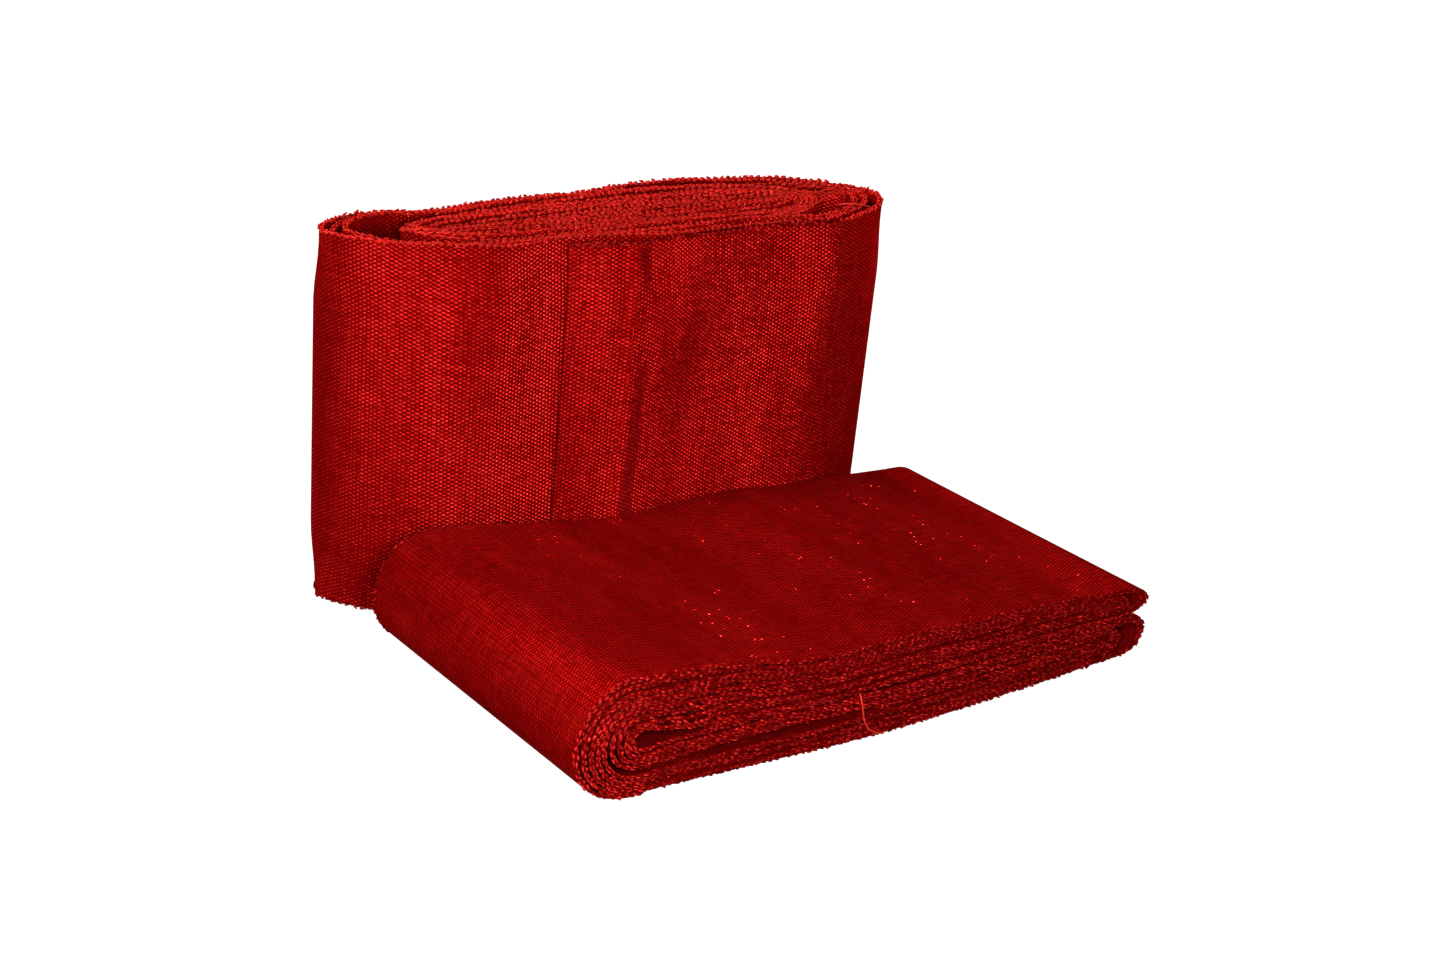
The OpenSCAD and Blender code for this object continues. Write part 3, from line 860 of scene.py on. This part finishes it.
def closed_core(y, z):
    """The place across the coil after the layers near both selvedges have closed up."""
    near_edge = smooth(np.abs(z - band_w / 2), closes_from, closes_to)
    room = core_closes * (core_back - core_front)
    closed = np.interp(y, [-half_thick, core_front, core_back, half_thick],
                       [-half_thick, core_front + room, core_back - room, half_thick])
    return y + near_edge * (closed - y)


def swelling(x, y, z):
    """How far the layers stand out: at the back over the whole height, in front towards the top."""
    high = smooth(z, belly_from, belly_to)
    bell = np.cos(np.clip(np.abs(x - swell_x) / swell_len, 0, 1) * math.pi / 2) ** 2
    belly = front_belly * high * (1 - top_pulled_in * smooth(z, top_from, band_w))
    return bell * np.where(y > 0, back_swell + back_belly * high, belly) * y / half_thick


def ripples(x, y, z):
    """Upright folds of the faces, and in front a dent beside the free end and a curled top edge."""
    bent = bent_by * np.sin(z / bent_len + bent_start)
    ripple = upright_high * np.sin(upright_start + x / upright_len + bent)
    ripple += fine_high * np.sin(x / fine_len - z / fine_rise)
    dent_x = tip_x + dent_low + dent_more * z / band_w
    dent = dent_deep * bell_curve(x, dent_x, dent_wide)
    curl = curl_deep * smooth(z, curl_from, band_w) * bell_curve(x, curl_x, curl_wide)
    ripple += np.where(y < 0, dent + curl, 0)
    outer = smooth(np.abs(y), faces_from, faces_to) * smooth(half_len - np.abs(x), 0, ends_calm)
    high = smooth(z, belly_from, belly_to)
    return ripple * outer * np.where(y > 0, back_ripple, low_ripple + (1 - low_ripple) * high)


def lean(x, y, z):
    """Where a point of the standing coil comes to lie, from its place in an even coil."""
    y = closed_core(y, z)
    swing = end_swing * smooth(-x, swing_from, half_len)
    flare = np.where(x > 0, 1 - flare_share * (1 - z / band_w), 1)
    moved_y = y + swelling(x, y, z) + swing + ripples(x, y, z)
    return np.column_stack([coil_x + x * flare, coil_y + moved_y, z])


right_end = lean(np.full(2, half_len), np.zeros(2), np.array([0, band_w]))[:, 0]
print("right end flares by mm:", round((right_end[1] - right_end[0]) / mm, 1))

# %% [markdown]
# With the line and the lean at hand, the coil is one strip of cloth and four rows of beads. The
# rows on the top edge have a brighter yarn of their own, a painted highlight for the light that
# falls on them. Neither edge is level: two sines along the band let it rise and fall.

# %% The standing coil
# The top rows' tones are raised further by a smaller power, painted light as well.
coil_rows, row_gap, top_lit_dull = 26, 0.44 * mm, 0.25


def uneven(line, most, phase):
    """Ups and downs of a selvedge along the coil."""
    lengths = lengths_along(line)
    slow, quick = np.sin(lengths / (17 * mm) + phase), np.sin(lengths / (6.1 * mm) + 2 * phase)
    return most * (slow + 0.6 * quick)


line = coil_line()
bottom = 0.5 * mm + np.abs(uneven(line, 0.2 * mm, 1.0))
top = band_w - 0.3 * mm + uneven(line, 0.28 * mm, 0.3)
layer = [strip(line, bottom, top, coil_rows, lean)]
coil_cloth = piece("coil_layers", layer, standing_cloth, cloth_crease)
low_rows = selvedge(line, bottom, -1, lean, row_gap)
high_rows = selvedge(line, top, 1, lean, row_gap, top_lit_dull)
coil_edges = []
for height, rows, finish in (("low", low_rows, selvedge_yarn), ("high", high_rows, lit_top_yarn)):
    for number, row in enumerate(rows):
        coil_edges.append(piece(f"coil_selvedge_{height}_{number + 1}", [row], finish))
for item in [coil_cloth] + coil_edges:
    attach(item, "standing")
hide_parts("standing_coil")

# %% [markdown]
# The free end is hemmed: the band turns in on itself, and the outer face stands up over the
# hidden edge as a ridge. So its line starts at that edge, runs to the tip, turns round it and
# comes back on the outside. The upper corner can be peeled off along a slanted crease.

# %% Line and relief of the free end
hem_depth = 0.55 * mm
face_y = front_run(0)
ridge_high, ridge_at, ridge_wide = 0.35 * mm, 8.6 * mm, 1.1 * mm
groove_deep, groove_at, groove_wide = 0.1 * mm, 7.0 * mm, 0.5 * mm
step_deep, step_at, step_len = 0.75 * mm, 9.3 * mm, 2.8 * mm
step_back, back_from, back_to = 1.0 * mm, 36 * mm, 48 * mm
fades_from, fades_to = 15 * mm, 27 * mm
shallow_share, shallow_low, shallow_high = 0.3, (29 * mm, 36 * mm), (41 * mm, 46 * mm)
tip_len, tip_deep = 7 * mm, 0.7 * mm
slant_low, slant_more = 1.2 * mm, 2.1 * mm
fine_to = tip_x + 16 * mm


def face_relief(x, z):
    """How far the free end's face stands in from flat: a ridge over the hem's edge, then a step down."""
    past = x - tip_x
    ridge = ridge_high * bell_curve(past, ridge_at, ridge_wide)
    groove = groove_deep * bell_curve(past, groove_at, groove_wide)
    above_or_below = np.maximum(smooth(z, *shallow_high), 1 - smooth(z, *shallow_low))
    deep = shallow_share + (1 - shallow_share) * above_or_below
    step_x = step_at - step_back * smooth(z, back_from, back_to)
    step = step_deep * deep * smooth(past, step_x, step_x + step_len)
    return groove + step * (1 - smooth(past, fades_from, fades_to)) - ridge


def free_end_line():
    start = tip_x + 0.4 * mm
    under = between((tip_x + hem_w, face_y + hem_depth), (start, face_y + hem_depth), 0.6 * mm)
    angle = np.linspace(math.pi / 2, 1.5 * math.pi, 9)
    turn_r = hem_depth / 2
    round_tip = np.column_stack([start + turn_r * np.cos(angle), face_y + turn_r + turn_r * np.sin(angle)])
    x = np.concatenate([np.linspace(start, fine_to, 60), np.linspace(fine_to, straight_x, 16)[1:]])
    return np.concatenate([under, round_tip, np.column_stack([x, np.full(len(x), face_y)])[1:]])


def tuck_tip(x, y, z):
    """The free end's edge lies in towards the layer behind it, a little aslant, and its face has relief."""
    near_tip = 1 - smooth(x, tip_x, tip_x + tip_len)
    slant = slant_low + slant_more * z / band_w
    aslant = slant * (1 - smooth(x, tip_x + hem_w, tip_x + 2.6 * hem_w))
    return lean(x + aslant, y + face_relief(x, z) + tip_deep * near_tip ** 2, z)


# %% [markdown]
# The strip of the free end has more rows than the coil, since its ridge and its crease are small.
# Its top edge hangs a little lower at the tip.

# %% The free end
free_rows = 40
hang, hang_from, hang_to = 0.6 * mm, tip_x + 8 * mm, tip_x + 16 * mm
line = free_end_line()
bottom = np.full(len(line), 0.5 * mm)
top = band_w - 0.35 * mm + uneven(line, 0.12 * mm, 0.9)
top -= hang * (1 - smooth(line[:, 0], hang_from, hang_to))
layer = [strip(line, bottom, top, free_rows, tuck_tip)]
free_end = piece("free_end", layer, standing_cloth, cloth_crease)
rows = selvedge(line, bottom, -1, tuck_tip) + selvedge(line, top, 1, tuck_tip)
free_edge = piece("free_end_selvedge", rows, selvedge_yarn)
for item in (free_end, free_edge):
    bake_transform(item)
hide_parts("free_corner", "free_corner_hem", "standing_hem_base")

# %% [markdown]
# The wraps close with hook and loop tape. None of it shows while they are rolled up, but the free
# end can be peeled off and the folded wrap opened, so it is all there. A patch is a woven ground
# with hundreds of dabs on it: bent stems with a head for the hooks, and lying arches for the loops.

# %% Hook and loop tape
hook_finish = yarn_finish("hook_tape", (0.012, 0.012, 0.014, 1), (0.09, 0.09, 0.1, 1))
loop_finish = yarn_finish("loop_tape", (0.01, 0.01, 0.012, 1), (0.11, 0.11, 0.12, 1))
ground_t = 0.22 * mm
stem_size, head_size, arch_size = (0.2, 0.07, 0.07), (0.16, 0.08, 0.06), (0.62, 0.07, 0.06)
root_height, arch_heights = 0.34, (0.34, 0.46)
out_of_line = 0.12


def patch_ground(xs, face, sign, edges, place):
    """The woven ground of a patch. It lies on a face, on the side that sign gives."""
    x = np.linspace(*xs, 40)
    line = np.column_stack([x, np.full(40, face + sign * ground_t / 2)])
    return strip(line, np.full(40, edges[0]), np.full(40, edges[1]), 24, place, ground_t)


def on_patch(count, xs, edges, inset=0.6 * mm):
    """Even rows of places on a patch, a little out of line."""
    wide, high = xs[1] - xs[0] - 2 * inset, edges[1] - edges[0] - 2 * inset
    columns = int(math.sqrt(count * wide / high))
    rows = count // columns
    first, across = np.meshgrid(np.linspace(0, wide, columns), np.linspace(0, high, rows))
    first = first.ravel() + xs[0] + inset + chance.normal(0, out_of_line, first.size) * mm
    return first, across.ravel() + edges[0] + inset + chance.normal(0, out_of_line, across.size) * mm


def hooks(count, xs, face, sign, edges, place):
    first, across = on_patch(count, xs, edges)
    count = len(first)
    up, ahead = np.tile([0.0, sign, 0.0], (count, 1)), np.tile([1.0, 0.0, 0.0], (count, 1))
    root = np.column_stack([first, np.full(count, face + sign * root_height * mm), across])
    size = np.tile(stem_size, (count, 1)) * mm
    stems = dabs(root, up, ahead, size, place, np.full(count, 0.5))
    tips = root + up * 0.18 * mm + ahead * 0.1 * mm
    size = np.tile(head_size, (count, 1)) * mm
    heads = dabs(tips, ahead, up, size, place, chance.uniform(0.4, 1, count), 0.05 * mm)
    return [stems, heads]


def loops(count, xs, face, sign, edges, place):
    first, across = on_patch(count, xs, edges)
    count = len(first)
    angle = chance.uniform(0, math.pi, count)
    way = np.column_stack([np.cos(angle), np.zeros(count), np.sin(angle)])
    up = np.tile([0.0, sign, 0.0], (count, 1))
    root = np.column_stack([first, face + sign * chance.uniform(*arch_heights, count) * mm, across])
    size = np.tile(arch_size, (count, 1)) * mm * chance.uniform(0.8, 1.2, (count, 1))
    return [dabs(root, way, up, size, place, chance.uniform(0.2, 1, count), 0.2 * mm)]


# %% [markdown]
# All seams are rows of short stitches. A stitch is a dab whose ends droop into the cloth, and a
# row is given by its two ends on a face.

# %% Stitches
thread_finish = yarn_finish("thread", (0.3, 0.001, 0.001, 1), (0.7, 0.01, 0.008, 1))
stitch_len, stitch_step, thread_r = 2.6 * mm, 3.0 * mm, 0.13 * mm
seam_edge = 1.2 * mm


def stitch_row(start, end, face, sign, place):
    """Stitches from start to end, each (first, across), on a face and on the side that sign gives."""
    start, end = np.array(start), np.array(end)
    length = np.linalg.norm(end - start)
    count = max(1, int(length / stitch_step))
    share = (np.arange(count)[:, None] + 0.5) / count
    spots = start + (end - start) * share
    way = np.tile([(end - start)[0] / length, 0.0, (end - start)[1] / length], (count, 1))
    out = np.tile([0.0, sign, 0.0], (count, 1))
    middle = np.column_stack([spots[:, 0], face + sign * 0.06 * mm * np.ones(count), spots[:, 1]])
    size = np.tile([stitch_len / 2, thread_r, 0.6 * thread_r], (count, 1))
    return dabs(middle, way, out, size, place, chance.uniform(0.4, 0.9, count), 0.1 * mm)


def stitch_frame(xs, face, sign, edges, place):
    left, right_side = xs[0] + seam_edge, xs[1] - seam_edge
    low, high = edges[0] + seam_edge, edges[1] - seam_edge
    corners = [(left, low), (right_side, low), (right_side, high), (left, high), (left, low)]
    return [stitch_row(a, b, face, sign, place) for a, b in zip(corners, corners[1:])]


# %% [markdown]
# A closure is a patch and the seam round it. The folded wrap has loops on its lower half and hooks
# on its upper one, and they meet when it is shut. One function makes both kinds of patch, and a
# patch goes through the same settling as the cloth that it lies on.

# %% Closure of the folded wrap
tape_kinds = {"loop": (loops, 1300, loop_finish), "hook": (hooks, 1000, hook_finish)}
seam_height = 0.5 * mm


def sewn_patch(owner, kind, xs, face, sign, edges, place):
    """The patch and the seam of one side of a closure, as two pieces."""
    dab_maker, count, finish = tape_kinds[kind]
    meshes = [patch_ground(xs, face, sign, edges, place)]
    meshes += dab_maker(count, xs, face, sign, edges, place)
    patch = piece(f"{owner}_{kind}_tape", meshes, finish)
    rows = stitch_frame(xs, face + sign * seam_height, sign, edges, place)
    return patch, piece(f"{owner}_{kind}_seam", rows, thread_finish)


patch_xs = (patch_low.x, patch_high.x)
patch_edges = (patch_low.y, patch_high.y)
folded_loop, folded_loop_seam = sewn_patch("folded", "loop", patch_xs, half_t, 1, patch_edges, settle)
folded_hook, folded_hook_seam = sewn_patch("folded", "hook", patch_xs, upper_base, -1, patch_edges, settle)
hem_seam_x = hem_high.x - seam_edge
hem_ends = (hem_seam_x, front_y + seam_edge), (hem_seam_x, back_y - seam_edge)
hem_row = stitch_row(*hem_ends, upper_base - hem_drop, -1, settle)
folded_hem_seam = piece("folded_hem_seam", [hem_row], thread_finish)
for item, body, node in ((folded_loop, "folded_lower", "folded_loop_patch"),
                         (folded_loop_seam, "folded_lower", "folded_loop_stitching"),
                         (folded_hook, "folded_upper", "folded_hook_patch"),
                         (folded_hook_seam, "folded_upper", "folded_hook_stitching"),
                         (folded_hem_seam, "folded_upper", "folded_hem_stitching")):
    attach(item, body)
    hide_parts(node)

# %% [markdown]
# On the standing wrap the hooks are on the inside of the free end and the loops on the turn behind
# it. The hook patch and the hem's seam lie across the crease, and they take the free end's shape.

# %% Closure of the standing wrap
hook_low, hook_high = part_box("standing_hook_base")
hook_xs = (hook_low.x - coil_x, hook_high.x - coil_x)
hook_edges = (hook_low.z, hook_high.z)
inside_face, under_face = face_y + band_t / 2, front_run(1) - band_t / 2
coil_hook, coil_hook_seam = sewn_patch("free_end", "hook", hook_xs, inside_face, 1, hook_edges, tuck_tip)
hem_x = tip_x + hem_w - seam_edge
hem_ends = (hem_x, seam_edge), (hem_x, band_w - seam_edge)
hem_rows = [stitch_row(*hem_ends, inside_face + hem_depth, 1, tuck_tip),
            stitch_row(*hem_ends, face_y - band_t / 2, -1, tuck_tip)]
coil_hem_seam = piece("free_end_hem_seam", hem_rows, thread_finish)
coil_loop, coil_loop_seam = sewn_patch("coil", "loop", hook_xs, under_face, -1, hook_edges, lean)
for item, nodes in ((coil_hook, ("standing_hook_base", "free_corner_hook")),
                    (coil_hook_seam, ("standing_hook_base_stitching", "free_corner_hook_stitching")),
                    (coil_hem_seam, ("standing_hem_base_stitching", "free_corner_hem_stitching"))):
    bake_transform(item)
    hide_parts(*nodes)
for item, node in ((coil_loop, "standing_loop_patch"), (coil_loop_seam, "standing_loop_stitching")):
    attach(item, "standing")
    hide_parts(node)

# %% [markdown]
# At the inner end of each band a loop of narrow tape goes round the thumb. In the folded wrap it
# is pressed flat between the layers, and in the standing one it lies open in the middle. A close
# row of stitches, a bar tack, holds it.

# %% Thumb loops
tape_t, pressed_half = 0.3 * mm, 0.2 * mm
# The tape's ground red is painted shade between its floats, and its floats carry a painted highlight, as on
# the band.
shaded_tape_ground = (0.2, 0.0006, 0.001, 1)
tape_reds = (0.3, 0.002, 0.003, 1), (0.7, 0.015, 0.012, 1)
tape_cloth = woven_cloth("thumb_tape", shaded_tape_ground, *tape_reds, 0.6 * mm, 0.45 * mm)
tack_step = 0.7 * mm


def flat_loop(low_x, high_x, middle, half):
    """A closed loop of tape seen from its edge: two legs and two round ends."""
    angle = np.linspace(-math.pi / 2, math.pi / 2, 10)
    legs = np.linspace(low_x + half, high_x - half, 24)
    end = np.column_stack([high_x - half + half * np.cos(angle), middle + half * np.sin(angle)])
    start = np.column_stack([low_x + half - half * np.cos(angle), middle - half * np.sin(angle)])
    lower = np.column_stack([legs[1:-1], np.full(22, middle - half)])
    upper = np.column_stack([legs[1:-1][::-1], np.full(22, middle + half)])
    return np.concatenate([lower, end, upper, start, lower[:1]])


def thumb_tape(name, line, edges, place):
    low, high = np.full(len(line), edges[0]), np.full(len(line), edges[1])
    return piece(name, [strip(line, low, high, 12, place, tape_t)], tape_cloth, cloth_crease)


loop_low, loop_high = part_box("standing_thumb_loop")
thumb_edges, loop_edges = (thumb_low.y, thumb_high.y), (loop_low.z, loop_high.z)
loop_mid, loop_half = (loop_low.y + loop_high.y) / 2 - coil_y, (loop_high.y - loop_low.y - tape_t) / 2
line = flat_loop(thumb_low.x, thumb_high.x, half_t / 2, pressed_half)
folded_thumb = thumb_tape("folded_thumb_tape", line, thumb_edges, settle)
line = flat_loop(loop_low.x - coil_x, loop_high.x - coil_x, loop_mid, loop_half)
coil_thumb = thumb_tape("coil_thumb_tape", line, loop_edges, lean)


def bar_tack(node, centre_x, face, edges, place):
    tack_low, tack_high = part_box(node)
    rows = np.arange(tack_low.x - centre_x + 0.2 * mm, tack_high.x - centre_x, tack_step)
    return [stitch_row((x, edges[0] + seam_edge), (x, edges[1] - seam_edge), face, 1, place) for x in rows]


rows = bar_tack("folded_thumb_tack", 0.0, half_t / 2, thumb_edges, settle)
folded_bar = piece("folded_thumb_bar", rows, thread_finish)
rows = bar_tack("standing_thumb_tack", coil_x, loop_mid - loop_half + tape_t / 2, loop_edges, lean)
coil_bar = piece("coil_thumb_bar", rows, thread_finish)
for item, body, node in ((folded_thumb, "folded_lower", "folded_thumb_loop"),
                         (folded_bar, "folded_lower", "folded_thumb_tack"),
                         (coil_thumb, "standing", "standing_thumb_loop"),
                         (coil_bar, "standing", "standing_thumb_tack")):
    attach(item, body)
    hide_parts(node)

# %% [markdown]
# A few yarns have worked loose: one hangs in a hook from the front edge of the folded wrap, and
# some lie across the right eye of the coil. Each is a curve led by a few points, with a round
# section, and it is then made a mesh.

# %% Loose yarns
loose_finish = yarn_finish("loose_yarn", (0.4, 0.004, 0.003, 1), (0.95, 0.05, 0.03, 1))


def yarn(points, radius):
    curve = bpy.data.curves.new("yarn", "CURVE")
    curve.dimensions = "3D"
    curve.bevel_depth = radius
    curve.bevel_resolution = 2
    curve.use_fill_caps = True
    spline = curve.splines.new("NURBS")
    spline.points.add(len(points) - 1)
    spline.use_endpoint_u = True
    spline.order_u = 4
    for spot, point in zip(spline.points, points):
        spot.co = (*point, 1)
    holder = bpy.data.objects.new("yarn", curve)
    mesh = bpy.data.meshes.new_from_object(holder)
    bpy.data.objects.remove(holder)
    bpy.data.curves.remove(curve)
    tone = mesh.attributes.new("tone", "FLOAT", "POINT")
    tone.data.foreach_set("value", np.full(len(mesh.vertices), 0.6, np.float32))
    return mesh


hang_x, hang_y = left_x + 39.7 * mm, front_y - 0.2 * mm
hook_shape = [(0, 0.6, 6.4), (0, -0.1, 5.6), (0.1, -0.2, 4.0),
              (0.6, -0.25, 2.4), (1.7, -0.2, 1.2), (3.6, -0.1, 0.7)]
hanging = [(hang_x + x * mm, hang_y + y * mm, z * mm) for x, y, z in hook_shape]
folded_yarn = piece("folded_yarn", [yarn(hanging, 0.13 * mm)], loose_finish)
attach(folded_yarn, "folded_lower")
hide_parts("folded_loose_yarn")

frays, fray_count = [], 7
for number in range(fray_count):
    start = np.array([chance.uniform(2, 6), -5 + 1.6 * number + chance.normal(0, 0.5), -0.3]) * mm
    away = np.array([chance.uniform(3, 6), chance.uniform(-3, 3), -0.4]) * mm
    arch = np.array([0, 0, chance.uniform(0.4, 0.9)]) * mm
    spots = np.array([start + away * t + 4 * t * (1 - t) * arch for t in np.linspace(0, 1, 5)])
    spots[:, 0] += straight_x + 1 * mm
    placed = lean(spots[:, 0], spots[:, 1], spots[:, 2] + band_w)
    frays.append(yarn(placed, 0.11 * mm))
coil_yarns = piece("coil_yarns", frays, loose_finish)
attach(coil_yarns, "standing")
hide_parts("standing_loose_yarns")

# %% [markdown]
# Each band is cloth. The rings round the fold are split into outer and inner ones, and the beads,
# rings, patches and seams of each half are put together in a list.

outer_rings, inner_rings = fold_pieces[:2 * turns], fold_pieces[2 * turns:]
on_lower = [folded_loop, folded_loop_seam, folded_bar, folded_yarn]
half_edges["lower"] + outer_rings + on_lower
half_edges["upper"] + inner_rings + [folded_hook, folded_hook_seam, folded_hem_seam]

# %% [markdown]
# The floor is plain and pale. It glows only for the camera, so the background is white, while the
# cloth gets nothing from that glow and the floor still takes a shadow. The world does the same:
# it is white to the camera and gives the wraps no more than a weak, even light.

# %% Floor and background
def floor_finish():
    floor = Finish("floor", Roughness=1.0)
    camera_ray = floor.node("ShaderNodeLightPath", {}, {}, "Is Camera Ray")
    floor.shader.inputs["Base Color"].default_value = (0.3, 0.3, 0.3, 1)
    floor.shader.inputs["Emission Strength"].default_value = 1.0
    floor.show(Emission_Color=floor.mix(camera_ray, (0, 0, 0, 1), (0.93, 0.93, 0.93, 1)))
    return floor.material


floor_mesh = bmesh.new()
bmesh.ops.create_grid(floor_mesh, x_segments=2, y_segments=2, size=3)
floor_data = bpy.data.meshes.new("floor")
floor_mesh.to_mesh(floor_data)
floor_mesh.free()
floor_data.materials.append(floor_finish())
floor = bpy.data.objects.new("floor", floor_data)
bpy.context.scene.collection.objects.link(floor)

world = bpy.data.worlds.new("world")
bpy.context.scene.world = world
world.use_nodes = True
world_tree = world.node_tree
ray = world_tree.nodes.new("ShaderNodeLightPath")
level = world_tree.nodes.new("ShaderNodeMapRange")
level.inputs["To Min"].default_value = 0.12
world_tree.links.new(ray.outputs["Is Camera Ray"], level.inputs["Value"])
world_tree.links.new(level.outputs["Result"], world_tree.nodes["Background"].inputs["Strength"])
world_tree.nodes["Background"].inputs["Color"].default_value = (1, 1, 1, 1)

# %% [markdown]
# Five lamps light the wraps. A small one near the camera's line of sight lights the faces that
# look at it, and a wide one from the left gives the round ends their bright side. A weak one from
# above softens the shadows. The other two, behind and on the right, light the far sides.

# %% Lights
def lamp(name, azimuth, elevation, distance, size, watts):
    data = bpy.data.lights.new(name, "AREA")
    data.shape = "DISK"
    data.size = size
    data.energy = watts
    item = bpy.data.objects.new(name, data)
    way = towards(math.radians(azimuth), math.radians(elevation))
    item.location = Vector((0, 0, 25 * mm)) + way * distance
    item.rotation_euler = way.to_track_quat("Z", "Y").to_euler()
    bpy.context.scene.collection.objects.link(item)


lamp("key", -32, 18, 0.2, 0.05, 0.41)
lamp("fill", -60, 60, 0.9, 0.5, 0.3)
lamp("side", -100, 43, 0.8, 0.4, 4.1)
lamp("back", 180, 18, 0.8, 0.5, 3.6)
lamp("right", 97, 20, 0.8, 0.4, 1.8)
bpy.context.scene.view_settings.view_transform = "Standard"
print("lamps:", [light.name for light in bpy.data.lights])
